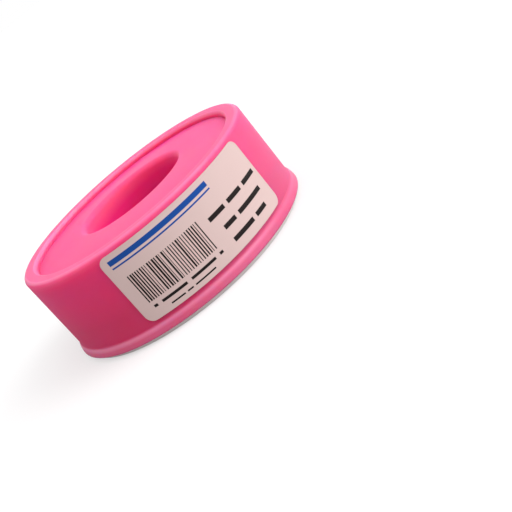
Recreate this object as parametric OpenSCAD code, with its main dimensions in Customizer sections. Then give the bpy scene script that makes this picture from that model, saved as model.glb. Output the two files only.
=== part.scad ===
// Roll of thread seal tape in a slip-on band, lying flat on its spool's flange.
// +Z is the axis of the bore, the origin is the middle of the underside, and sizes are in millimetres.

/* [Tape] */
// Width of the tape
tape_w = 12.7; // [6:0.1:25.4]
// Thickness of one layer of tape
tape_t = 0.09; // [0.06:0.01:0.2]
// Room round the wound tape, out to the opening in the band's rim
tape_room = 1.2; // [0.4:0.1:2]
// Room above the wound tape, up to the end disc
tape_play = 0.3; // [0.1:0.05:1]

/* [Spool] */
// Thickness of the hub's wall
hub_wall = 1.2; // [0.8:0.1:2]
// Radius that rounds the hub's open end
hub_round = 0.5; // [0.2:0.1:0.7]
// Thickness of the ledge that the band stands on
ledge_t = 0.75; // [0.5:0.05:1.5]
// How far the ledge stands back from the band's wall
ledge_inset = 0.2; // [0:0.05:0.5]
// Radius that rounds the ledge's lower edge
ledge_round = 0.3; // [0.1:0.05:0.45]
// Thickness of the step that centres the band
step_t = 0.75; // [0.4:0.05:1.5]

/* [End disc] */
// Diameter of the bore through the disc and its tube
bore_d = 19.3; // [12:0.1:22]
// Radius that rounds the mouth of the bore
bore_round = 1; // [0.3:0.1:1.2]
// Thickness of the disc at its edge
disc_t = 1; // [0.8:0.1:2]
// Rise of the disc's face from its edge to the mouth of the bore
disc_rise = 0.6; // [0.1:0.05:1]
// Depth of the disc's edge below the top of the rim
disc_recess = 1; // [0.5:0.05:1.5]
// Wall of the tube that plugs into the hub
tube_wall = 1.5; // [1.3:0.1:2.2]
// Length of the tube below the disc
tube_len = 6; // [3:0.5:9]
// Radius that rounds the tube's end, to lead it into the hub
tube_lead = 0.4; // [0.1:0.1:0.8]

/* [Band] */
// Outer diameter of the band's wall
band_d = 45; // [42:0.5:60]
// Thickness of the band's wall
band_wall = 1.2; // [0.8:0.1:2]
// Width of the rim, from the wall's outside to its opening
rim_w = 2.7; // [2.2:0.1:4.5]
// Thickness of the rim
rim_t = 1.8; // [1.4:0.1:3]
// Radius that rounds the rim into the wall
rim_round = 0.8; // [0.3:0.1:1.2]
// Radius that rounds the rim into its opening
rim_in_round = 0.65; // [0.2:0.05:0.9]
// Height of the lip, from its foot up to the wall that it curves in to
lip_h = 1.85; // [1:0.05:3]
// How far the lip stands out from the wall at its foot
lip_out = 0.55; // [0.3:0.05:0.8]
// Radius that rounds the lip's foot
lip_foot = 0.25; // [0.1:0.05:0.5]
// Radius of the hollow between the lip and the wall
lip_fillet = 0.3; // [0.1:0.05:0.6]

/* [Label] */
// Arc that the label covers, in degrees
label_arc = 75.5; // [30:0.5:150]
// Turn of the label's middle from the front towards +X, in degrees
label_turn = 10.3; // [-180:0.1:180]
// Thickness of the label's paper
label_t = 0.12; // [0.08:0.01:0.3]
// Thickness of the glue under the label
label_glue = 0.03; // [0.02:0.01:0.1]
// Radius of the label's corners
label_corner = 1.4; // [0.5:0.1:2]
// Bare wall between the lip's hollow and the label
label_below = 0.4; // [0.2:0.1:2]
// Bare wall between the label and the rim's rounding
label_above = 0.1; // [0.1:0.1:2]

/* [Fits] */
// Running clearance, on each side, of the tube in the hub
tube_fit = 0.06; // [0.02:0.01:0.1]
// Clearance, on each side, of the disc in the rim's opening
disc_fit = 0.25; // [0.15:0.05:0.5]
// Clearance, on each side, of the flange's step in the band
step_fit = 0.25; // [0.15:0.05:0.5]
// Clearance between the hub and the first turn of the tape
wind_fit = 0.05; // [0.02:0.01:0.2]

/* [Hidden] */
$fn = 96;
// Overlap that makes a cut or an added shape reach past its neighbour's face
eps = 0.01;
// Points on one turn of the tape's outline
turn_steps = 144;
pink = [0.91, 0.24, 0.47];
rose = [0.95, 0.55, 0.68];
milk = [0.95, 0.93, 0.91];
paper = [0.90, 0.84, 0.81];

// Radii, from the outside in
band_r = band_d / 2;
band_in_r = band_r - band_wall;
rim_in_r = band_r - rim_w;
ledge_r = band_r - ledge_inset;
step_r = band_in_r - step_fit;
disc_r = rim_in_r - disc_fit;
tape_r = rim_in_r - tape_room;
label_r = band_r + label_glue;

// Radii, from the bore out
bore_r = bore_d / 2;
mouth_r = bore_r + bore_round;
tube_r = bore_r + tube_wall;
hub_in_r = tube_r + tube_fit;
hub_r = hub_in_r + hub_wall;
tape_in_r = hub_r + wind_fit;

// Heights, from the underside up
flange_top = ledge_t + step_t;
tape_top = flange_top + tape_w;
disc_z = tape_top + tape_play;
disc_top = disc_z + disc_t;
mouth_top = disc_top + disc_rise;
rim_top = disc_top + disc_recess;

// The lip is an arc that is widest at its foot, and the circle that hollows its top touches arc and wall
lip_reach = band_r + lip_out;
lip_r = (lip_h * lip_h + lip_out * lip_out) / (2 * lip_out);
lip_x = lip_reach - lip_r;
hollow_x = band_r + lip_fillet;
hollow_z = ledge_t + sqrt(pow(lip_r + lip_fillet, 2) - pow(hollow_x - lip_x, 2));
touch_x = lip_x + (hollow_x - lip_x) * lip_r / (lip_r + lip_fillet);

label_z = hollow_z + label_below;
label_h = rim_top - rim_round - label_above - label_z;
label_w = 2 * label_r * sin(label_arc / 2);

// Outline of the wound tape: its radius grows by one layer in a turn and ends in a step
function wound(turn) = tape_r - tape_t * turn / turn_steps;
tape_outline = [for (i = [0 : turn_steps])
    wound(i) * [cos(360 * i / turn_steps), sin(360 * i / turn_steps)]];
tape_length = PI * (tape_r * tape_r - tape_in_r * tape_in_r) / tape_t;
echo(str("Wound length of the tape, in metres: ", tape_length / 1000));

// What is cut off to round a corner that has its solid below it and on the side towards the axis
module round_outer(r) {
    difference() {
        translate([-r, -r]) square(r + eps);
        translate([-r, -r]) circle(r);
    }
}

// The same for a corner that has its solid on the side away from the axis
module round_inner(r) {
    mirror([1, 0]) round_outer(r);
}

// A flat ring's section, from one radius to another and from one height to another
module section(r_from, r_to, z_from, z_to) {
    translate([r_from, z_from]) square([r_to - r_from, z_to - z_from]);
}

module spool() {
    color(milk)
    rotate_extrude()
    difference() {
        union() {
            section(hub_in_r, ledge_r, 0, ledge_t);
            section(hub_in_r, step_r, 0, flange_top);
            section(hub_in_r, hub_r, 0, disc_z);
        }
        translate([ledge_r, 0]) mirror([0, 1]) round_outer(ledge_round);
        translate([hub_in_r, 0]) mirror([0, 1]) round_inner(hub_round);
    }
}

module tape() {
    color(rose)
    translate([0, 0, flange_top])
    difference() {
        linear_extrude(tape_w) polygon(tape_outline);
        translate([0, 0, -eps]) cylinder(r = tape_in_r, h = tape_w + 2 * eps);
    }
}

module end_disc() {
    color(pink)
    rotate_extrude()
    difference() {
        union() {
            polygon([[bore_r, disc_z], [disc_r, disc_z], [disc_r, disc_top],
                [mouth_r, mouth_top], [bore_r, mouth_top]]);
            section(bore_r, tube_r, disc_z - tube_len, disc_top);
        }
        translate([bore_r, mouth_top]) round_inner(bore_round);
        translate([tube_r, disc_z - tube_len]) mirror([0, 1]) round_outer(tube_lead);
    }
}

// The lip round the band's foot, with the hollow that leads up into the wall
module lip_section() {
    translate([lip_x, ledge_t]) circle(lip_r);
    difference() {
        section(band_in_r, touch_x, ledge_t, hollow_z);
        translate([hollow_x, hollow_z]) circle(lip_fillet);
    }
}

module band() {
    color(pink)
    rotate_extrude()
    difference() {
        union() {
            section(band_in_r, band_r, ledge_t, rim_top);
            section(rim_in_r, band_r, rim_top - rim_t, rim_top);
            intersection() {
                lip_section();
                section(band_in_r, lip_reach + eps, ledge_t, rim_top);
            }
        }
        translate([band_r, rim_top]) round_outer(rim_round);
        translate([rim_in_r, rim_top]) round_inner(rim_in_round);
        translate([lip_reach, ledge_t]) mirror([0, 1]) round_outer(lip_foot);
    }
}

// The label's outline, with its lower edge on the x axis and its middle at x = 0
module label_outline() {
    translate([-label_w / 2, label_corner]) square([label_w, label_h - 2 * label_corner]);
    translate([label_corner - label_w / 2, 0]) square([label_w - 2 * label_corner, label_h]);
    for (side = [-1, 1], z = [label_corner, label_h - label_corner])
        translate([side * (label_w / 2 - label_corner), z]) circle(label_corner);
}

module label() {
    color(paper)
    rotate([0, 0, label_turn])
    translate([0, 0, label_z])
    intersection() {
        rotate_extrude() section(label_r, label_r + label_t, 0, label_h);
        rotate([90, 0, 0]) linear_extrude(band_d) label_outline();
    }
}

spool();
tape();
end_disc();
band();
label();
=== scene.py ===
import math

import bpy
from bpy.props import FloatProperty, FloatVectorProperty, IntProperty, PointerProperty
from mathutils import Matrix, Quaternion, Vector


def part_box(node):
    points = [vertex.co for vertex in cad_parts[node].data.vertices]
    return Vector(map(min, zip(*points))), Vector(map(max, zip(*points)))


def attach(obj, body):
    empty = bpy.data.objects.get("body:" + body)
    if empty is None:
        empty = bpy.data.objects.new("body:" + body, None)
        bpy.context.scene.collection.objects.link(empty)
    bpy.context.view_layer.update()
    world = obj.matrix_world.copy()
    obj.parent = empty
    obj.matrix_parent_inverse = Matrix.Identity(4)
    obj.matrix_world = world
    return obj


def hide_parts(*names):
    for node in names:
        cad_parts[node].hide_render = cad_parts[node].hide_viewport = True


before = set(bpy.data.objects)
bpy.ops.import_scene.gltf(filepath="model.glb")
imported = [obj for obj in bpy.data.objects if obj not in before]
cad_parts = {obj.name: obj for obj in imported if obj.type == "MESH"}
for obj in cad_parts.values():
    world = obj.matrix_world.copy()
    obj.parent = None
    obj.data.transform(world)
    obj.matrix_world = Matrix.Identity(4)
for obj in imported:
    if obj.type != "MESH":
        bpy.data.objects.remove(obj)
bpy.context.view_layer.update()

bl_info = {
    "name": "Thread seal tape roll",
    "version": (1, 0, 0),
    "blender": (4, 5, 0),
    "location": "View3D > Sidebar > Tape Roll",
    "description": "Models the pieces of a roll of thread seal tape, their finishes and a plain stage",
    "category": "Add Mesh",
}

MM = 0.001
WHITE = (1.0, 1.0, 1.0)
# Side of the photograph's frame, in pixels, and width of the sensor that the lens is given for
PHOTO_SIDE = 512
SENSOR_MM = 36.0
# The camera sees from this near to this far, in metres
CLIP_NEAR = 0.01
CLIP_FAR = 20.0
# Points closer than this are one point
WELD = 0.001 * MM
# How far the spool's ledge stands back from the band's wall
LEDGE_INSET = 0.2 * MM
# Faces that meet at less than the first angle shade as one, and edges sharper than the second are rounded
SMOOTH_ANGLE = math.radians(35.0)
SHARP_ANGLE = math.radians(40.0)
# Steps on a rounding of an outline, on the rim's outer rounding, on the lip and on a softened edge
ROUND_STEPS = 12
RIM_STEPS = 16
LIP_STEPS = 24
EDGE_STEPS = 3
# Where the rounding of the lip's foot hands over to the lip's own arc, in degrees
FOOT_END = -14.0
# Steps on a corner of the label, and columns of faces along its bend
CORNER_STEPS = 10
LABEL_COLUMNS = 64
# How much detail the noise has in a fine grain, in clouds and lines, and in paper
GRAIN_DETAIL = 2.0
CLOUD_DETAIL = 3.0
FIBRE_DETAIL = 4.0
# How strong the finest detail of a noise is, as a rule and in paper
PLAIN_ROUGH = 0.5
FIBRE_ROUGH = 0.6
# What is printed on the label, in millimetres: left, right, lower and upper edge of each patch
LABEL_STRIPES = ((1.3, 20.2, 10.75, 11.65), (1.3, 20.2, 10.1, 10.4))
LABEL_BARS = (1.9, 15.3, 2.9, 8.2)
# Rows of plain strokes in place of small print: lower and upper edge, and left and right end of each stroke
LABEL_ROWS = (
    (6.4, 7.2, ((16.8, 20.2), (21.0, 24.4), (25.2, 28.8))),
    (3.9, 4.7, ((18.0, 20.6), (21.4, 27.6))),
    (1.5, 2.3, ((18.0, 22.8), (23.6, 26.4))),
    (1.75, 2.25, ((2.4, 3.1), (3.9, 8.6), (9.4, 14.1), (14.9, 15.6))),
    (0.75, 1.05, ((4.8, 7.4), (7.8, 8.9), (9.3, 13.2))),
)
# Distance from bar to bar, the share of it that the thinnest bar fills and the most that chance adds to that
BAR_PITCH = 0.44
BAR_LEAST = 0.22
BAR_CHANCE = 0.5
# Width of the print's soft edges
PRINT_SOFT = 0.04
# Sockets of a Mix node that mixes colours: its share, its two colours and its result
MIX_SHARE = 0
MIX_FIRST = 6
MIX_SECOND = 7
MIX_RESULT = 2


def reach(node):
    """How far a round node reaches from the axis of the bore."""
    low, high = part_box(node)
    return max(-low.x, -low.y, high.x, high.y)


def foot(node):
    """Height of a node's lowest point."""
    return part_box(node)[0].z


def top(node):
    """Height of a node's highest point."""
    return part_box(node)[1].z


def length(name, description, default):
    """A size of the roll that a user can change."""
    return FloatProperty(name=name, description=description, default=default, min=0.0,
                         precision=5, subtype="DISTANCE", unit="LENGTH")


def span(name, description, start, end):
    """Two places that a user can change, given in millimetres: where a change starts and where it ends."""
    return FloatVectorProperty(name=name, description=description, default=(start * MM, end * MM),
                               size=2, precision=5, unit="LENGTH")


def angle(name, description, degrees):
    """An angle that a user can change."""
    return FloatProperty(name=name, description=description, default=math.radians(degrees),
                         subtype="ANGLE", unit="ROTATION")


def share(name, description, default):
    """A share of one that a user can change."""
    return FloatProperty(name=name, description=description, default=default, min=0.0, max=1.0,
                         subtype="FACTOR")


def amount(name, description, default):
    """A strength or a count that a user can change."""
    return FloatProperty(name=name, description=description, default=default, min=0.0)


def direction(name, description, default):
    """A direction that a user can change."""
    return FloatVectorProperty(name=name, description=description, default=default, size=3,
                               subtype="DIRECTION")


def colour(name, description, red, green, blue):
    """A colour that a user can change, as linear light."""
    return FloatVectorProperty(name=name, description=description, default=(red, green, blue),
                               size=3, min=0.0, max=1.0, subtype="COLOR")


class RollSizes(bpy.types.PropertyGroup):
    """Sizes of the roll's pieces"""

    around: IntProperty(name="Steps around", description="Faces in one turn of a round piece",
                        default=256, min=32, max=512)
    edge: length("Edge rounding", "Radius that takes the sharpness off moulded edges", 0.14 * MM)
    wall: length("Band radius", "Radius of the band's outside wall", reach("spool") + LEDGE_INSET)
    wall_thickness: length("Band wall", "Thickness of the band's wall", 1.2 * MM)
    rim_width: length("Rim width", "From the band's outside wall to the rim's opening", 2.7 * MM)
    rim_thickness: length("Rim thickness", "From the top of the rim to its underside", 1.8 * MM)
    rim_round: length("Rim rounding", "Radius that rounds the rim into the wall", 0.8 * MM)
    rim_inner_round: length("Rim inner rounding", "Radius that rounds the rim into its opening", 0.65 * MM)
    lip_height: length("Lip height", "From the lip's foot up to the wall that it curves in to", 1.85 * MM)
    lip_out: length("Lip reach", "How far the lip stands out from the wall at its foot", 0.55 * MM)
    lip_foot: length("Lip foot", "Radius that rounds the lip's foot", 0.25 * MM)
    lip_hollow: length("Lip hollow", "Radius of the hollow between the lip and the wall", 0.3 * MM)
    disc_gap: length("Disc gap", "Gap between the end disc and the rim's opening", 0.04 * MM)
    disc_thickness: length("Disc thickness", "Thickness of the end disc at its edge", 1.0 * MM)
    disc_rise: length("Disc rise", "Rise of the end disc's face from its edge to the bore", 0.6 * MM)
    bore: length("Bore radius", "Radius of the bore through the end disc", 9.65 * MM)
    bore_round: length("Bore rounding", "Radius that rounds the mouth of the bore", 1.0 * MM)
    tube_wall: length("Tube wall", "Wall of the tube that plugs into the hub", 1.5 * MM)
    tube_lead: length("Tube lead", "Radius that rounds the tube's end", 0.4 * MM)
    hub_gap: length("Hub gap", "Gap between the tube and the hub", 0.06 * MM)
    hub_wall: length("Hub wall", "Thickness of the hub's wall", 1.2 * MM)
    hub_round: length("Hub rounding", "Radius that rounds the hub's open end", 0.5 * MM)
    ledge_round: length("Ledge rounding", "Radius that rounds the ledge's lower edge", 0.3 * MM)
    step_gap: length("Step gap", "Gap between the flange's step and the band", 0.25 * MM)
    tape_layer: length("Tape layer", "Thickness of one layer of tape", 0.09 * MM)
    tape_gap: length("Tape gap", "Gap between the hub and the first layer of tape", 0.05 * MM)
    last_turn: angle("Last turn", "Arc that the last layer of tape covers", 352.0)
    label_arc: angle("Label arc", "Arc that the label covers", 75.5)
    label_turn: angle("Label turn", "Turn of the label's middle from the front", 10.3)
    label_glue: length("Label glue", "Thickness of the glue under the label", 0.03 * MM)
    label_thickness: length("Label thickness", "Thickness of the label's paper", 0.12 * MM)
    label_corner: length("Label corner", "Radius of the label's corners", 1.4 * MM)


class RollColours(bpy.types.PropertyGroup):
    """Colours of the roll's finishes"""

    pink: colour("Pink", "Pink moulded plastic", 0.966, 0.072, 0.222)
    pink_pale: colour("Pale pink", "Pink plastic where it is worn or flowed thin", 0.996, 0.102, 0.258)
    # Painted shade: the wall's top is deeper pink on its left, away from the lamps
    pink_wall_shade: colour("Wall pink", "Pink plastic of the wall below the rim", 0.99, 0.044, 0.185)
    # Painted shade: the wall is darker towards its foot
    pink_foot_shade: colour("Low pink", "Pink plastic of the wall towards its foot", 0.707, 0.044, 0.145)
    # Painted light: the wall's foot is paler on its right, lamplit side
    pink_lamplit: colour("Faded pink", "Pink plastic of the wall's foot on its faded side", 0.73, 0.094, 0.22)
    # Painted shade in the bore and at the end disc's far edge and ends
    pink_painted_shade: colour("Deep pink", "Pink plastic in the bore and at the end disc's edge", 1.0, 0.022, 0.21)
    # Painted highlight on the lip and on the rim's inner and outer edges
    pink_highlight: colour("Rubbed pink", "Pink plastic on the lip and on the rim's edges", 0.98, 0.285, 0.45)
    pink_glow: colour("Pink glow", "How far each colour passes on in the pink plastic", 1.0, 0.12, 0.3)
    milk: colour("Milk", "White moulded plastic", 0.92, 0.88, 0.86)
    milk_warm: colour("Warm milk", "White plastic in its duller patches", 0.86, 0.81, 0.78)
    milk_glow: colour("Milk glow", "How far each colour passes on in the white plastic", 1.0, 0.8, 0.7)
    film: colour("Film", "Wound tape", 0.88, 0.36, 0.47)
    film_deep: colour("Deep film", "Wound tape between its layers", 0.8, 0.24, 0.36)
    film_glow: colour("Film glow", "How far each colour passes on in the tape", 1.0, 0.5, 0.6)
    paper: colour("Paper", "Label paper", 0.709, 0.534, 0.51)
    paper_fibre: colour("Paper fibre", "Label paper between its fibres", 0.673, 0.497, 0.474)
    ink_blue: colour("Blue ink", "Stripe across the top of the label", 0.008, 0.07, 0.33)
    ink_black: colour("Black ink", "Bars and strokes on the label", 0.014, 0.009, 0.009)


class RollGrain(bpy.types.PropertyGroup):
    """How fine, how deep and how rough the finishes are"""

    pink_clouds: amount("Pink clouds", "Cloudy patches to the metre in the pink plastic", 110.0)
    pink_flow: amount("Pink flow", "Flow lines to the metre in the pink plastic", 700.0)
    pink_stretch: share("Pink stretch", "How the flow lines are drawn out along the bore's axis", 0.12)
    pink_specks: amount("Pink specks", "Specks to the metre in the pink plastic", 5200.0)
    clouds_worn: share("Worn clouds", "Share of the clouds in the plastic's wear", 0.55)
    flow_worn: share("Worn flow", "Share of the flow lines in the plastic's wear", 0.3)
    specks_worn: share("Worn specks", "Share of the specks in the plastic's wear", 0.15)
    pink_rough: share("Pink roughness", "Least roughness of the pink plastic", 0.46)
    pink_rough_clouds: share("Pink cloud roughness", "Roughness that its clouds add", 0.1)
    pink_rough_specks: share("Pink speck roughness", "Roughness that its specks add", 0.08)
    crest_polish: share("Crest polish", "Roughness that rubbing takes off the lip's crest", 0.15)
    rim_polish: share("Rim polish", "Share of that polish on the crest of the rim", 0.5)
    pink_relief: length("Pink relief", "Depth of the pink plastic's grain", 0.006 * MM)
    relief_flow: share("Flow relief", "Share of the flow lines in that grain", 0.4)
    relief_specks: share("Speck relief", "Share of the specks in that grain", 0.6)
    pink_mirror: share("Pink mirror", "Strength of the reflections in the pink plastic", 0.15)
    pink_depth: length("Pink depth", "How far light passes on in the pink plastic", 3.0 * MM)
    milk_clouds: amount("Milk clouds", "Cloudy patches to the metre in the white plastic", 140.0)
    milk_specks: amount("Milk specks", "Specks to the metre in the white plastic", 4200.0)
    milk_rough: share("Milk roughness", "Least roughness of the white plastic", 0.4)
    milk_rough_clouds: share("Milk cloud roughness", "Roughness that its clouds add", 0.12)
    milk_relief: length("Milk relief", "Depth of the white plastic's grain", 0.006 * MM)
    milk_passed: share("Milk passed", "Share of the light that the white plastic passes on", 0.2)
    milk_depth: length("Milk depth", "How far light passes on in the white plastic", 1.0 * MM)
    film_lines: amount("Film lines", "Lines to the metre in the tape", 2600.0)
    film_stretch: share("Film stretch", "How the lines are drawn out along the winding", 0.06)
    film_clouds: amount("Film clouds", "Cloudy patches to the metre in the tape", 160.0)
    film_lines_share: share("Film lines' share", "Share of the lines in the tape's colour", 0.6)
    film_rough: share("Film roughness", "Least roughness of the tape", 0.5)
    film_rough_lines: share("Film line roughness", "Roughness that its lines add", 0.15)
    film_relief: length("Film relief", "Depth of the tape's lines", 0.02 * MM)
    film_passed: share("Film passed", "Share of the light that the tape passes on", 0.2)
    film_depth: length("Film depth", "How far light passes on in the tape", 0.6 * MM)
    paper_fibres: amount("Paper fibres", "Fibres to the metre in the label", 3800.0)
    paper_clouds: amount("Paper clouds", "Cloudy patches to the metre in the label", 260.0)
    paper_fibres_share: share("Fibres' share", "Share of the fibres in the paper's colour", 0.5)
    paper_rough: share("Paper roughness", "Least roughness of the paper", 0.55)
    paper_rough_fibres: share("Fibre roughness", "Roughness that its fibres add", 0.1)
    ink_polish: share("Ink polish", "Roughness that ink takes off the paper", 0.1)
    paper_relief: length("Paper relief", "Depth of the paper's fibres", 0.004 * MM)
    paper_mirror: share("Paper mirror", "Strength of the reflections in the paper", 0.15)


class RollPaintedLightAndWear(bpy.types.PropertyGroup):
    """Where painted shade makes the pink plastic deeper, painted light makes it paler, painted highlights
    brighten its edges, and where its crests are smoother
    """

    # Painted shade in the bore, deepest below an edge that climbs from left to right
    bore_shade_reach: span("Shelter reach", "Deeper pink round the bore, from its radius out", 0.8, 0.1)
    bore_shade_top: length("Shelter top", "Height of the deeper pink's edge at the bore's left", 14.7 * MM)
    bore_shade_climb: length("Shelter climb", "Climb of that edge to the bore's right", 1.25 * MM)
    bore_shade_across: span("Shelter sides", "Climb of that edge, from left to right", -6.0, 6.0)
    bore_shade_depth: length("Shelter depth", "Depth below that edge at which the pink is deepest", 2.0 * MM)
    # Painted shade on the end disc: along its far edge by the rim, and more faintly at its two ends
    disc_edge: span("Disc edge", "The end disc's own finish, from the rim's opening in", -0.01, -0.04)
    far_reach: span("Far edge", "Deeper pink at the disc's far edge, from the rim's opening", -6.5, -1.0)
    far_along: span("Far side", "Deeper pink at the disc's far edge, from front to back", 2.0, 16.0)
    ends_across: span("Disc ends", "Deeper pink at the disc's ends, from the middle out", 5.0, 13.0)
    ends_along: span("Disc ends' side", "Deeper pink at the disc's ends, from front to back", -9.0, -1.0)
    ends_share: share("Disc ends' share", "Share of the deeper pink at the disc's ends", 0.3)
    # Painted light and shade on the wall: deeper on its left, darker towards its foot, paler on its lamplit
    # right
    wall_skin: span("Wall skin", "The wall's own pink, from the wall's radius", -0.6, -0.2)
    wall_top: span("Wall top", "The wall's own pink, from the top of the rim", -0.6, -1.4)
    low: span("Wall foot", "Lower pink of the wall, by height", 13.5, 6.0)
    lamplit: span("Faded side", "Faded pink of the wall, from left to right", -4.0, 16.0)
    # Painted highlights on the lip, full on the left and middle, least on the lamplit right
    brightened: span("Handled side", "More rubbing of the edges, from right to left", 16.0, 7.0)
    brightened_least: share("Least handled", "Rubbing on the side that is handled least", 0.3)
    lip_crest: span("Lip crest", "Rubbing of the lip, from the wall's radius out", 0.04, 0.19)
    lip_top: span("Lip top", "Heights between which the lip is rubbed most", 1.6, 2.6)
    lip_soft: length("Lip softness", "Height in which that rubbing starts and ends", 0.5 * MM)
    lip_least: share("Lip least", "Rubbing on the rest of the lip", 0.45)
    rim_crest: span("Rim crest", "Smoother crest of the rim, from its top", -0.35, -0.05)
    # Painted highlights on the rim's inner edge, strongest at its back, and on its outer edge
    inner_edge: span("Inner edge", "Edges of the rim's rubbed inside, from its opening", -0.1, 0.5)
    inner_soft: length("Inner softness", "Width in which that rubbing starts and ends", 0.08 * MM)
    inner_rise: span("Inner rise", "Rubbing of the rim's inside, from the disc's edge up", 0.3, 0.55)
    inner_along: span("Inner side", "Rubbing of the rim's inside, from front to back", -12.0, 12.0)
    inner_share: share("Inner share", "Most rubbing of the rim's inside", 0.8)
    outer_edge: span("Outer edge", "Edges of the rim's rubbed outside, from the wall's radius", -0.85, -0.05)
    outer_soft: length("Outer softness", "Width in which that rubbing starts and ends", 0.25 * MM)
    outer_rise: span("Outer rise", "Rubbing of the rim's outside, from the top of the rim", -0.5, -0.25)
    outer_share: share("Outer share", "Least rubbing of the rim's outside, which handling can double", 0.3)
    even: share("Even rubbing", "Share of the rubbing that is the same all over", 0.6)


class RollStage(bpy.types.PropertyGroup):
    """Camera, lamps and floor"""

    lens: FloatProperty(name="Lens", description="Focal length on a 36 mm sensor", default=70.31,
                        min=1.0, subtype="DISTANCE_CAMERA", unit="CAMERA")
    distance: length("Camera distance", "From the camera to the middle of the rim's top", 165.7 * MM)
    elevation: angle("Camera elevation", "Height of the camera over the rim's top, as an angle", 11.81)
    roll: angle("Camera roll", "Turn of the camera about its line to the rim's middle", -40.4)
    rim_pixel: FloatVectorProperty(
        name="Rim pixel", description="Pixel of the photograph that shows the middle of the rim's top",
        default=(128.3, 190.0), size=2)
    sky: amount("Sky", "Brightness of the surroundings on the roll", 0.67)
    sky_slope: amount("Sky slope", "How much brighter the surroundings are on their bright side", 0.23)
    sky_side: direction("Sky side", "Direction of the surroundings' bright side", (0.438, -0.255, 0.915))
    mirror_low: amount("Mirrored dark side", "Brightness of their dark side in a reflection", 0.196)
    mirror_high: amount("Mirrored bright side", "Brightness of their bright side in a reflection", 1.144)
    mirror_side: direction("Mirrored side", "Direction of the bright side in a reflection",
                           (0.616, 0.596, 0.477))
    mirror_full: share("Mirrored edge", "Cosine to that direction at which a reflection is brightest", 0.7)
    key: amount("Key lamp", "Light that the soft lamp overhead sheds on a surface that faces it", 0.85)
    key_side: direction("Key side", "Direction of the soft lamp overhead", (0.5, -0.55, 0.9))
    side: amount("Side lamp", "Light that the soft lamp at the side sheds on a surface that faces it", 1.65)
    side_side: direction("Side lamp's side", "Direction of the soft lamp at the side", (0.9, -0.3, 0.55))
    spread: angle("Lamp spread", "Angle that a soft lamp fills, seen from the roll", 50.0)
    floor: colour("Floor", "Pale floor", 0.412, 0.412, 0.412)
    floor_width: length("Floor width", "Length of the floor's sides", 6.0)
    floor_lift: amount("Floor lift", "What makes the lit floor look white", 0.55)
    floor_mirror: share("Mirrored floor", "Share of that lift in a reflection, on the bright side", 1.0)
    floor_bright: span("Bright floor", "The floor's bright side, from left to right", -20.0, 40.0)


class Shade:
    """A socket in a node tree. Arithmetic on it adds the Math nodes that work it out."""

    def __init__(self, tree, socket=None):
        self.tree = tree
        self.socket = socket

    def fill(self, socket, value):
        """Links another node's output to a socket, or sets the socket's own value."""
        if isinstance(value, Shade):
            self.tree.links.new(value.socket, socket)
        else:
            socket.default_value = value

    def add(self, kind, settings, sockets, output=0):
        """Adds a node, sets it up, fills its sockets and gives one of its outputs."""
        node = self.tree.nodes.new("ShaderNode" + kind)
        for name, value in settings.items():
            setattr(node, name, value)
        for name, value in sockets.items():
            self.fill(node.inputs[name], value)
        return Shade(self.tree, node.outputs[output])

    def math(self, operation, *values):
        """Any Math operation, by its name."""
        return self.add("Math", {"operation": operation}, dict(enumerate(values)))

    def vector(self, operation, *values):
        """Any Vector Math operation that gives a number, by its name."""
        return self.add("VectorMath", {"operation": operation}, dict(enumerate(values)), "Value")

    def mix(self, factor, first, second):
        """A colour between two colours."""
        colours = {MIX_SHARE: factor, MIX_FIRST: first, MIX_SECOND: second}
        return self.add("Mix", {"data_type": "RGBA"}, colours, MIX_RESULT)

    def ramp(self, value, start, run):
        """0 up to a start, then a climb to 1 over a run, which may be negative to climb the other way."""
        return self.add("Math", {"operation": "DIVIDE", "use_clamp": True}, {0: value - start, 1: run})

    def over(self, value, places, base=0.0):
        """A climb from 0 to 1 between two places, which are counted from a base."""
        start, end = places
        return self.ramp(value, base + start, end - start)

    def within(self, value, low, high, soft):
        """1 between two values and 0 outside, with soft edges."""
        return self.ramp(value, low, soft) * self.ramp(value, high, -soft)

    def noise(self, place, scale, detail=GRAIN_DETAIL, rough=PLAIN_ROUGH):
        """Cloudy noise from 0 to 1 over a place."""
        return self.add("TexNoise", {}, {"Vector": place, "Scale": scale, "Detail": detail,
                                         "Roughness": rough})

    def stretched(self, place, scale):
        """A place with its axes scaled, for noise that runs along one of them."""
        return self.add("Mapping", {}, {"Vector": place, "Scale": scale})

    def relief(self, heights, depth):
        """A bump of a given depth, in metres."""
        return self.add("Bump", {}, {"Height": heights, "Distance": depth, "Strength": 1.0})

    def __add__(self, other):
        return self.math("ADD", self, other)

    def __radd__(self, other):
        return self.math("ADD", other, self)

    def __sub__(self, other):
        return self.math("SUBTRACT", self, other)

    def __rsub__(self, other):
        return self.math("SUBTRACT", other, self)

    def __mul__(self, other):
        return self.math("MULTIPLY", self, other)

    def __rmul__(self, other):
        return self.math("MULTIPLY", other, self)

    def __truediv__(self, other):
        return self.math("DIVIDE", self, other)


class Spot:
    """A point of a surface: its place, how far it is from the bore's axis, and each of its coordinates."""

    def __init__(self, shade):
        self.place = shade.add("TexCoord", {}, {}, "Object")
        self.radius = shade.vector("LENGTH", shade.stretched(self.place, (1.0, 1.0, 0.0)))
        self.across, self.along, self.height = (
            shade.add("SeparateXYZ", {}, {"Vector": self.place}, axis) for axis in "XYZ")


def either(masks):
    """1 where any of several masks is 1."""
    joined = masks[0]
    for mask in masks[1:]:
        joined = joined.math("MAXIMUM", joined, mask)
    return joined


def at_least(least, mask):
    """A mask that doesn't fall below a least share."""
    return least + (1.0 - least) * mask


def opaque(tint):
    """A colour with its alpha."""
    return (*tint, 1.0)


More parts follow.
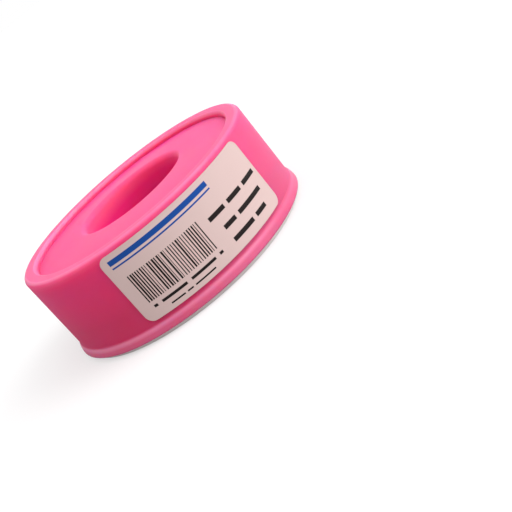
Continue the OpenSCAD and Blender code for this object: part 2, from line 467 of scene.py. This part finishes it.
def finish(name, build):
    """A material whose nodes one function builds, made once and then shared."""
    made = bpy.data.materials.get(name)
    if made is None:
        made = bpy.data.materials.new(name)
        made.use_nodes = True
        made.node_tree.nodes.clear()
        shade = Shade(made.node_tree)
        surface = build(shade)
        output = made.node_tree.nodes.new("ShaderNodeOutputMaterial")
        shade.fill(output.inputs["Surface"], surface)
    return made


def rim_opening(sizes):
    """Radius of the rim's opening."""
    return sizes.wall - sizes.rim_width


def disc_rim_height(sizes):
    """Height of the end disc's face at its edge."""
    return top("spool") + sizes.disc_thickness


def painted_shade_share(shade, spot):
    """Painted shade: where the pink is deepest, in the bore, and at the end disc's far edge and its ends."""
    sizes = bpy.context.scene.roll_sizes
    wear = bpy.context.scene.roll_wear
    bore_shade_top = wear.bore_shade_top + wear.bore_shade_climb * shade.over(spot.across, wear.bore_shade_across)
    bore_shade = shade.ramp(bore_shade_top - spot.height, 0.0, wear.bore_shade_depth)
    bore_shade = bore_shade * shade.over(spot.radius, wear.bore_shade_reach, sizes.bore)
    # Painted shade on the end disc: along its far edge by the rim, and more faintly at its two ends
    on_disc = shade.over(spot.radius, wear.disc_edge, rim_opening(sizes))
    far = shade.over(spot.radius, wear.far_reach, rim_opening(sizes)) * on_disc
    far = far * shade.over(spot.along, wear.far_along)
    ends = shade.over(shade.math("ABSOLUTE", spot.across), wear.ends_across) * on_disc
    ends = wear.ends_share * ends * shade.over(spot.along, wear.ends_along)
    return either([bore_shade, far, ends])


def painted_highlight_share(shade, spot, lip_crest):
    """Painted highlights: where the pink is paler, on the lip, and on the inner and outer edge of the rim."""
    sizes = bpy.context.scene.roll_sizes
    wear = bpy.context.scene.roll_wear
    # Painted highlights are full on the left and middle and least on the lamplit right
    brightened = at_least(wear.brightened_least, shade.over(spot.across, wear.brightened))
    lip_top = shade.within(spot.height, *wear.lip_top, wear.lip_soft)
    lip = brightened * lip_crest * at_least(wear.lip_least, lip_top)
    opening = rim_opening(sizes)
    inner_low, inner_high = wear.inner_edge
    inner = shade.within(spot.radius, opening + inner_low, opening + inner_high, wear.inner_soft)
    inner = inner * shade.over(spot.height, wear.inner_rise, disc_rim_height(sizes))
    inner = wear.inner_share * inner * shade.over(spot.along, wear.inner_along)
    outer_low, outer_high = wear.outer_edge
    outer = shade.within(spot.radius, sizes.wall + outer_low, sizes.wall + outer_high, wear.outer_soft)
    outer = outer * shade.over(spot.height, wear.outer_rise, top("band"))
    outer = wear.outer_share * (1.0 + brightened) * outer
    return either([lip, inner, outer])


def wall_light_and_shade(shade, spot, open_faces):
    """Pink of the band's wall with painted shade and light: deeper on its left, darker towards its foot,
    paler on its lamplit right side.
    """
    tints = bpy.context.scene.roll_colours
    wear = bpy.context.scene.roll_wear
    lamplit = shade.over(spot.across, wear.lamplit)
    wall_top = shade.mix(lamplit, opaque(tints.pink_wall_shade), open_faces)
    wall_foot = shade.mix(lamplit, opaque(tints.pink_foot_shade), opaque(tints.pink_lamplit))
    return shade.mix(shade.over(spot.height, wear.low), wall_top, wall_foot)


def pink_plastic(shade):
    """Satin moulded plastic with clouds, flow lines and a fine grain, paler in random patches, and deeper or
    paler by place with painted shade, painted light and painted highlights.
    """
    sizes = bpy.context.scene.roll_sizes
    tints = bpy.context.scene.roll_colours
    grain = bpy.context.scene.roll_grain
    wear = bpy.context.scene.roll_wear
    spot = Spot(shade)
    clouds = shade.noise(spot.place, grain.pink_clouds, CLOUD_DETAIL)
    flow = shade.noise(shade.stretched(spot.place, (1.0, 1.0, grain.pink_stretch)), grain.pink_flow)
    specks = shade.noise(spot.place, grain.pink_specks)
    worn = grain.clouds_worn * clouds + grain.flow_worn * flow + grain.specks_worn * specks
    lip_crest = shade.over(spot.radius, wear.lip_crest, sizes.wall)
    rim_crest = shade.over(spot.height, wear.rim_crest, top("band"))
    polished = either([lip_crest, grain.rim_polish * rim_crest])
    open_faces = shade.mix(worn, opaque(tints.pink), opaque(tints.pink_pale))
    on_wall = shade.over(spot.radius, wear.wall_skin, sizes.wall)
    on_wall = on_wall * shade.over(spot.height, wear.wall_top, top("band"))
    # Painted light and shade on the band's wall
    faces = shade.mix(on_wall, open_faces, wall_light_and_shade(shade, spot, open_faces))
    # Painted highlights, broken up by the plastic's clouds, flow lines and specks
    highlit = painted_highlight_share(shade, spot, lip_crest) * at_least(wear.even, worn)
    faces = shade.mix(highlit, faces, opaque(tints.pink_highlight))
    uneven = grain.pink_rough_clouds * clouds + grain.pink_rough_specks * specks
    heights = grain.relief_flow * flow + grain.relief_specks * specks
    # Painted shade deepens the base colour in the bore and on the end disc
    return shade.add("BsdfPrincipled", {}, {
        "Base Color": shade.mix(painted_shade_share(shade, spot), faces, opaque(tints.pink_painted_shade)),
        "Roughness": grain.pink_rough + uneven - grain.crest_polish * polished,
        "Normal": shade.relief(heights, grain.pink_relief),
        "Specular IOR Level": grain.pink_mirror,
        "Subsurface Weight": 1.0,
        "Subsurface Radius": tints.pink_glow,
        "Subsurface Scale": grain.pink_depth,
    })


def white_plastic(shade):
    """Milky moulded plastic with duller patches."""
    tints = bpy.context.scene.roll_colours
    grain = bpy.context.scene.roll_grain
    place = shade.add("TexCoord", {}, {}, "Object")
    clouds = shade.noise(place, grain.milk_clouds, CLOUD_DETAIL)
    specks = shade.noise(place, grain.milk_specks)
    return shade.add("BsdfPrincipled", {}, {
        "Base Color": shade.mix(clouds, opaque(tints.milk), opaque(tints.milk_warm)),
        "Roughness": grain.milk_rough + grain.milk_rough_clouds * clouds,
        "Normal": shade.relief(specks, grain.milk_relief),
        "Subsurface Weight": grain.milk_passed,
        "Subsurface Radius": tints.milk_glow,
        "Subsurface Scale": grain.milk_depth,
    })


def tape_film(shade):
    """Waxy wound film with faint lines along the winding."""
    tints = bpy.context.scene.roll_colours
    grain = bpy.context.scene.roll_grain
    place = shade.add("TexCoord", {}, {}, "Object")
    drawn_out = shade.stretched(place, (grain.film_stretch, grain.film_stretch, 1.0))
    lines = shade.noise(drawn_out, grain.film_lines, CLOUD_DETAIL)
    clouds = shade.noise(place, grain.film_clouds, CLOUD_DETAIL)
    uneven = grain.film_lines_share * lines + (1.0 - grain.film_lines_share) * clouds
    return shade.add("BsdfPrincipled", {}, {
        "Base Color": shade.mix(uneven, opaque(tints.film_deep), opaque(tints.film)),
        "Roughness": grain.film_rough + grain.film_rough_lines * lines,
        "Normal": shade.relief(lines, grain.film_relief),
        "Subsurface Weight": grain.film_passed,
        "Subsurface Radius": tints.film_glow,
        "Subsurface Scale": grain.film_depth,
    })


def label_print(shade, place):
    """Masks of the label's blue stripes and of its black bars and strokes, from its lower left corner."""
    sizes = bpy.context.scene.roll_sizes
    axes = {name: shade.add("SeparateXYZ", {}, {"Vector": place}, name) for name in "XYZ"}
    turn = shade.math("ARCTAN2", axes["X"], axes["Y"] * -1.0)
    across = (turn - (sizes.label_turn - sizes.label_arc / 2)) * (sizes.wall / MM)
    up = (axes["Z"] - foot("label")) / MM

    def patch(left, right, low, high):
        return shade.within(across, left, right, PRINT_SOFT) * shade.within(up, low, high, PRINT_SOFT)

    stripes = either([patch(*stripe) for stripe in LABEL_STRIPES])
    beat = across / BAR_PITCH
    chance = shade.add("TexWhiteNoise", {"noise_dimensions": "1D"}, {"W": shade.math("FLOOR", beat)}, "Value")
    filled = shade.math("LESS_THAN", shade.math("FRACT", beat), BAR_LEAST + BAR_CHANCE * chance)
    bars = patch(*LABEL_BARS) * filled
    strokes = [patch(*ends, low, high) for low, high, row in LABEL_ROWS for ends in row]
    return stripes, either([bars, *strokes])


def label_paper(shade):
    """Printed label paper with fine fibres and a faint gloss on the ink."""
    tints = bpy.context.scene.roll_colours
    grain = bpy.context.scene.roll_grain
    place = shade.add("TexCoord", {}, {}, "Object")
    fibres = shade.noise(place, grain.paper_fibres, FIBRE_DETAIL, FIBRE_ROUGH)
    clouds = shade.noise(place, grain.paper_clouds, CLOUD_DETAIL)
    stripes, marks = label_print(shade, place)
    uneven = grain.paper_fibres_share * fibres + (1.0 - grain.paper_fibres_share) * clouds
    paper = shade.mix(uneven, opaque(tints.paper_fibre), opaque(tints.paper))
    striped = shade.mix(stripes, paper, opaque(tints.ink_blue))
    inked = either([stripes, marks])
    return shade.add("BsdfPrincipled", {}, {
        "Base Color": shade.mix(marks, striped, opaque(tints.ink_black)),
        "Roughness": grain.paper_rough + grain.paper_rough_fibres * fibres - grain.ink_polish * inked,
        "Normal": shade.relief(fibres, grain.paper_relief),
        "Specular IOR Level": grain.paper_mirror,
    })


def looked_at(shade):
    """1 for a ray from the camera, straight or through something clear."""
    seen = shade.add("LightPath", {}, {}, "Is Camera Ray")
    through = shade.add("LightPath", {}, {}, "Is Transmission Ray")
    return either([seen, through])


def pale_floor(shade):
    """Matt floor that looks white and keeps the shadow."""
    stage = bpy.context.scene.roll_stage
    matt = shade.add("BsdfDiffuse", {}, {"Color": opaque(stage.floor)})
    white = shade.add("Emission", {}, {"Color": opaque(WHITE), "Strength": stage.floor_lift})
    lifted = shade.add("AddShader", {}, {0: matt, 1: white})
    place = shade.add("TexCoord", {}, {}, "Object")
    across = shade.add("SeparateXYZ", {}, {"Vector": place}, "X")
    mirrored = shade.add("LightPath", {}, {}, "Is Glossy Ray")
    mirrored = stage.floor_mirror * shade.over(across, stage.floor_bright) * mirrored
    return shade.add("MixShader", {}, {0: either([looked_at(shade), mirrored]), 1: matt, 2: lifted})


def start_afresh():
    """Leaves nothing selected, so that an operator acts on the new piece alone."""
    if bpy.context.object and bpy.context.object.mode != "OBJECT":
        bpy.ops.object.mode_set(mode="OBJECT")
    bpy.ops.object.select_all(action="DESELECT")


def use_modifier(piece, kind, **settings):
    """Adds a modifier to a piece, sets it and applies it."""
    bpy.ops.object.modifier_add(type=kind)
    modifier = piece.modifiers[-1]
    for name, value in settings.items():
        setattr(modifier, name, value)
    bpy.ops.object.modifier_apply(modifier=modifier.name)


def arc(centre, radius, start, end, steps=ROUND_STEPS):
    """Points of an outline on an arc, from one angle to another in degrees."""
    turns = [math.radians(start + (end - start) * step / steps) for step in range(steps + 1)]
    return [(centre[0] + radius * math.cos(turn), centre[1] + radius * math.sin(turn)) for turn in turns]


def turned(name, outline, sweep=math.tau):
    """A piece turned from its closed outline of radii and heights, which is extruded and then spun."""
    start_afresh()
    sizes = bpy.context.scene.roll_sizes
    first_radius, first_height = outline[0]
    bpy.ops.mesh.primitive_plane_add(size=MM, location=(first_radius, 0.0, first_height))
    piece = bpy.context.object
    piece.name = piece.data.name = name
    bpy.ops.object.transform_apply(location=True)
    bpy.ops.object.mode_set(mode="EDIT")
    bpy.ops.mesh.merge(type="CENTER")
    for (radius, height), (next_radius, next_height) in zip(outline, outline[1:] + outline[:1]):
        step = (next_radius - radius, 0.0, next_height - height)
        bpy.ops.mesh.extrude_region_move(TRANSFORM_OT_translate={"value": step})
    bpy.ops.mesh.select_all(action="SELECT")
    bpy.ops.mesh.remove_doubles(threshold=WELD)
    steps = round(sizes.around * sweep / math.tau)
    bpy.ops.mesh.spin(steps=steps, angle=sweep, center=(0.0, 0.0, 0.0), axis=(0.0, 0.0, 1.0))
    bpy.ops.mesh.select_all(action="SELECT")
    bpy.ops.mesh.remove_doubles(threshold=WELD)
    bpy.ops.mesh.normals_make_consistent(inside=False)
    bpy.ops.object.mode_set(mode="OBJECT")
    return piece


def soften(piece, width):
    """Takes the sharpness off a piece's edges and shades it smooth."""
    use_modifier(piece, "BEVEL", width=width, segments=EDGE_STEPS, limit_method="ANGLE",
                 angle_limit=SHARP_ANGLE, use_clamp_overlap=True)
    bpy.ops.object.shade_smooth_by_angle(angle=SMOOTH_ANGLE)


def hand_over(piece, material, body, slot, *nodes):
    """Gives a piece its finish, its body and the nodes that it stands for."""
    piece.data.materials.clear()
    piece.data.materials.append(material)
    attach(piece, body)
    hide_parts(*nodes)


def tube_reach(sizes):
    """Outside radius of the end disc's tube."""
    return sizes.bore + sizes.tube_wall


def hub_inside(sizes):
    """Inside radius of the spool's hub."""
    return tube_reach(sizes) + sizes.hub_gap


def hub_outside(sizes):
    """Outside radius of the spool's hub."""
    return hub_inside(sizes) + sizes.hub_wall


class ROLL_OT_spool(bpy.types.Operator):
    """Model the white spool: a hub on a flange with a ledge"""

    bl_idname = "tape_roll.spool"
    bl_label = "Spool"

    def execute(self, context):
        sizes = context.scene.roll_sizes
        inside = hub_inside(sizes)
        outside = hub_outside(sizes)
        ledge = reach("spool")
        step = sizes.wall - sizes.wall_thickness - sizes.step_gap
        ledge_top = foot("band")
        outline = [(inside, top("spool"))]
        outline += arc((inside + sizes.hub_round, sizes.hub_round), sizes.hub_round, 180.0, 270.0)
        outline += arc((ledge - sizes.ledge_round, sizes.ledge_round), sizes.ledge_round, 270.0, 360.0)
        outline += [(ledge, ledge_top), (step, ledge_top), (step, foot("tape"))]
        outline += [(outside, foot("tape")), (outside, top("spool"))]
        spool = turned("spool_body", outline)
        soften(spool, sizes.edge)
        hand_over(spool, finish("milky_moulding", white_plastic), "reel", "white_plastic", "spool")
        return {"FINISHED"}


class ROLL_OT_tape(bpy.types.Operator):
    """Model the wound tape and its last layer, which ends in a step"""

    bl_idname = "tape_roll.tape"
    bl_label = "Wound tape"

    def execute(self, context):
        sizes = context.scene.roll_sizes
        inner = hub_outside(sizes) + sizes.tape_gap
        outer = reach("tape")
        low = foot("tape")
        high = top("tape")
        wound = outer - sizes.tape_layer
        winding = turned("tape_winding", [(inner, low), (wound, low), (wound, high), (inner, high)])
        soften(winding, sizes.edge)
        layer = [(wound, low), (outer, low), (outer, high), (wound, high)]
        last = turned("tape_last_layer", layer, sizes.last_turn)
        bpy.ops.object.mode_set(mode="EDIT")
        bpy.ops.mesh.select_all(action="DESELECT")
        bpy.ops.mesh.select_non_manifold()
        bpy.ops.mesh.edge_face_add()
        bpy.ops.object.mode_set(mode="OBJECT")
        bpy.ops.object.shade_smooth_by_angle(angle=SMOOTH_ANGLE)
        film = finish("waxy_winding", tape_film)
        hand_over(winding, film, "reel", "tape_film", "tape")
        hand_over(last, film, "reel", "tape_film", "tape")
        return {"FINISHED"}


class ROLL_OT_end_disc(bpy.types.Operator):
    """Model the pink end disc with its round-mouthed bore and its tube"""

    bl_idname = "tape_roll.end_disc"
    bl_label = "End disc"

    def execute(self, context):
        sizes = context.scene.roll_sizes
        under = top("spool")
        rim_height = disc_rim_height(sizes)
        face = rim_height + sizes.disc_rise
        end = foot("end_disc")
        rim = rim_opening(sizes) - sizes.disc_gap
        tube = tube_reach(sizes)
        outline = [(sizes.bore, end)]
        mouth = (sizes.bore + sizes.bore_round, face - sizes.bore_round)
        outline += arc(mouth, sizes.bore_round, 180.0, 90.0)
        outline += [(rim, rim_height), (rim, under), (tube, under)]
        outline += arc((tube - sizes.tube_lead, end + sizes.tube_lead), sizes.tube_lead, 0.0, -90.0)
        disc = turned("end_disc_plug", outline)
        soften(disc, sizes.edge)
        hand_over(disc, finish("pink_moulding", pink_plastic), "disc", "pink_plastic", "end_disc")
        return {"FINISHED"}


class ROLL_OT_band(bpy.types.Operator):
    """Model the pink band with its rounded rim and the lip round its foot"""

    bl_idname = "tape_roll.band"
    bl_label = "Band"

    def execute(self, context):
        sizes = context.scene.roll_sizes
        low = foot("band")
        high = top("band")
        inside = sizes.wall - sizes.wall_thickness
        opening = rim_opening(sizes)
        rim_under = high - sizes.rim_thickness
        lip = (sizes.lip_height ** 2 + sizes.lip_out ** 2) / (2 * sizes.lip_out)
        lip_at = Vector((sizes.wall + sizes.lip_out - lip, low))
        hollow_run = sizes.wall + sizes.lip_hollow - lip_at.x
        hollow_rise = math.sqrt((lip + sizes.lip_hollow) ** 2 - hollow_run ** 2)
        hollow_at = lip_at + Vector((hollow_run, hollow_rise))
        meet = math.degrees(math.atan2(hollow_rise, hollow_run))
        foot_at = (sizes.wall + sizes.lip_out - sizes.lip_foot, low + sizes.lip_foot)
        crossing = math.degrees(math.asin(sizes.lip_foot / lip))
        outline = [(inside, low)]
        outline += arc(foot_at, sizes.lip_foot, -90.0, FOOT_END)
        outline += arc(lip_at, lip, crossing, meet, LIP_STEPS)
        outline += arc(hollow_at, sizes.lip_hollow, meet + 180.0, 180.0)[1:]
        outer_round = sizes.rim_round
        inner_round = sizes.rim_inner_round
        outline += arc((sizes.wall - outer_round, high - outer_round), outer_round, 0.0, 90.0, RIM_STEPS)
        outline += arc((opening + inner_round, high - inner_round), inner_round, 90.0, 180.0)
        outline += [(opening, rim_under), (inside, rim_under)]
        band = turned("band_shell", outline)
        soften(band, sizes.edge)
        hand_over(band, finish("pink_moulding", pink_plastic), "cover", "pink_plastic", "band")
        return {"FINISHED"}


class ROLL_OT_label(bpy.types.Operator):
    """Model the paper label and bend it round the band"""

    bl_idname = "tape_roll.label"
    bl_label = "Label"

    def execute(self, context):
        sizes = context.scene.roll_sizes
        radius = sizes.wall + sizes.label_glue
        low = foot("label")
        high = top("label")
        width = radius * sizes.label_arc
        start_afresh()
        bpy.ops.mesh.primitive_plane_add(size=1.0, rotation=(math.radians(90.0), 0.0, 0.0))
        label = bpy.context.object
        label.name = label.data.name = "label_sheet"
        label.scale = (width, high - low, 1.0)
        bpy.ops.object.transform_apply(rotation=True, scale=True)
        bpy.ops.object.mode_set(mode="EDIT")
        bpy.ops.mesh.select_all(action="SELECT")
        bpy.ops.mesh.bevel(offset=sizes.label_corner, segments=CORNER_STEPS, affect="VERTICES")
        for column in range(1, LABEL_COLUMNS):
            cut = (width * (column / LABEL_COLUMNS - 0.5), 0.0, 0.0)
            bpy.ops.mesh.select_all(action="SELECT")
            bpy.ops.mesh.bisect(plane_co=cut, plane_no=(1.0, 0.0, 0.0))
        bpy.ops.object.mode_set(mode="OBJECT")
        use_modifier(label, "SIMPLE_DEFORM", deform_method="BEND", deform_axis="Z", angle=sizes.label_arc)
        use_modifier(label, "SOLIDIFY", thickness=sizes.label_thickness, offset=1.0)
        bpy.ops.object.mode_set(mode="EDIT")
        bpy.ops.mesh.select_all(action="SELECT")
        bpy.ops.transform.translate(value=(0.0, -radius, (low + high) / 2))
        bpy.ops.object.mode_set(mode="OBJECT")
        label.rotation_euler.z = sizes.label_turn
        bpy.ops.object.transform_apply(rotation=True)
        bpy.ops.object.shade_smooth_by_angle(angle=SMOOTH_ANGLE)
        hand_over(label, finish("printed_label", label_paper), "cover", "label_paper", "label")
        return {"FINISHED"}


def aim(place, target):
    """The turn that points a lamp's or camera's view from one place at another."""
    return (Vector(target) - Vector(place)).to_track_quat("-Z", "Y")


def photo_camera(stage, target):
    """The camera of the photograph: the target shows at the named pixel, and the roll turns about it."""
    back = Vector((0.0, -math.cos(stage.elevation), math.sin(stage.elevation)))
    place = Vector(target) + back * stage.distance
    bpy.ops.object.camera_add(location=place)
    camera = bpy.context.object
    camera.data.lens = stage.lens
    camera.data.sensor_width = SENSOR_MM
    focal = stage.lens / SENSOR_MM * PHOTO_SIDE
    across = (stage.rim_pixel[0] - PHOTO_SIDE / 2) / focal
    down = (stage.rim_pixel[1] - PHOTO_SIDE / 2) / focal
    ray = Vector((across, -down, -1.0)).normalized()
    aside = Vector((0.0, 0.0, -1.0)).rotation_difference(ray)
    rolled = Quaternion(ray, stage.roll)
    turn = aim(place, target) @ aside.inverted() @ rolled.inverted()
    camera.rotation_euler = turn.to_euler()
    camera.data.clip_start = CLIP_NEAR
    camera.data.clip_end = CLIP_FAR
    return camera


def soft_lamp(name, side, spread, light):
    """A broad lamp, far away, that lights the roll from one side."""
    bpy.ops.object.light_add(type="SUN", location=side)
    lamp = bpy.context.object
    lamp.name = name
    lamp.data.energy = light
    lamp.data.angle = spread
    lamp.rotation_euler = aim(side, (0.0, 0.0, 0.0)).to_euler()


def surroundings(stage):
    """A world that looks white, sheds a soft light and has a bright side in a reflection."""
    world = bpy.data.worlds.new("surroundings")
    world.use_nodes = True
    world.node_tree.nodes.clear()
    shade = Shade(world.node_tree)
    outward = shade.add("TexCoord", {}, {}, "Generated")
    ambient = stage.sky + stage.sky_slope * shade.vector("DOT_PRODUCT", outward, stage.sky_side)
    facing = shade.vector("DOT_PRODUCT", outward, stage.mirror_side)
    brighter = (stage.mirror_high - stage.mirror_low) * shade.ramp(facing, 0.0, stage.mirror_full)
    mirror = stage.mirror_low + brighter
    glossy = shade.add("LightPath", {}, {}, "Is Glossy Ray")
    around = ambient + glossy * (mirror - ambient)
    level = around + looked_at(shade) * (1.0 - around)
    sky = shade.add("Background", {}, {"Color": opaque(WHITE), "Strength": level})
    output = world.node_tree.nodes.new("ShaderNodeOutputWorld")
    shade.fill(output.inputs["Surface"], sky)
    return world


class ROLL_OT_stage(bpy.types.Operator):
    """Set up the floor, the lamps, the surroundings and the camera"""

    bl_idname = "tape_roll.stage"
    bl_label = "Stage"

    def execute(self, context):
        stage = context.scene.roll_stage
        start_afresh()
        bpy.ops.mesh.primitive_plane_add(size=stage.floor_width)
        floor = bpy.context.object
        floor.name = "floor"
        floor.data.materials.append(finish("pale_floor", pale_floor))
        soft_lamp("key_lamp", stage.key_side, stage.spread, stage.key)
        soft_lamp("side_lamp", stage.side_side, stage.spread, stage.side)
        context.scene.camera = photo_camera(stage, (0.0, 0.0, top("band")))
        context.scene.world = surroundings(stage)
        context.scene.view_settings.view_transform = "Standard"
        return {"FINISHED"}


class ROLL_PT_sidebar(bpy.types.Panel):
    """The roll's operators, sizes, finishes and stage"""

    bl_label = "Thread seal tape roll"
    bl_idname = "ROLL_PT_sidebar"
    bl_space_type = "VIEW_3D"
    bl_region_type = "UI"
    bl_category = "Tape Roll"

    def draw(self, context):
        scene = context.scene
        for operator in OPERATORS:
            self.layout.operator(operator.bl_idname)
        for group in (scene.roll_sizes, scene.roll_colours, scene.roll_grain, scene.roll_wear,
                      scene.roll_stage):
            box = self.layout.box()
            for name in group.bl_rna.properties.keys():
                if name not in {"rna_type", "name"}:
                    box.prop(group, name)


GROUPS = (RollSizes, RollColours, RollGrain, RollPaintedLightAndWear, RollStage)
OPERATORS = (ROLL_OT_spool, ROLL_OT_tape, ROLL_OT_end_disc, ROLL_OT_band, ROLL_OT_label, ROLL_OT_stage)


def register():
    for kind in (*GROUPS, *OPERATORS, ROLL_PT_sidebar):
        bpy.utils.register_class(kind)
    bpy.types.Scene.roll_sizes = PointerProperty(type=RollSizes)
    bpy.types.Scene.roll_colours = PointerProperty(type=RollColours)
    bpy.types.Scene.roll_grain = PointerProperty(type=RollGrain)
    bpy.types.Scene.roll_wear = PointerProperty(type=RollPaintedLightAndWear)
    bpy.types.Scene.roll_stage = PointerProperty(type=RollStage)


def unregister():
    del bpy.types.Scene.roll_stage
    del bpy.types.Scene.roll_wear
    del bpy.types.Scene.roll_grain
    del bpy.types.Scene.roll_colours
    del bpy.types.Scene.roll_sizes
    for kind in reversed((*GROUPS, *OPERATORS, ROLL_PT_sidebar)):
        bpy.utils.unregister_class(kind)


def main():
    register()
    bpy.ops.tape_roll.spool()
    bpy.ops.tape_roll.tape()
    bpy.ops.tape_roll.end_disc()
    bpy.ops.tape_roll.band()
    bpy.ops.tape_roll.label()
    bpy.ops.tape_roll.stage()


if __name__ == "__main__":
    main()
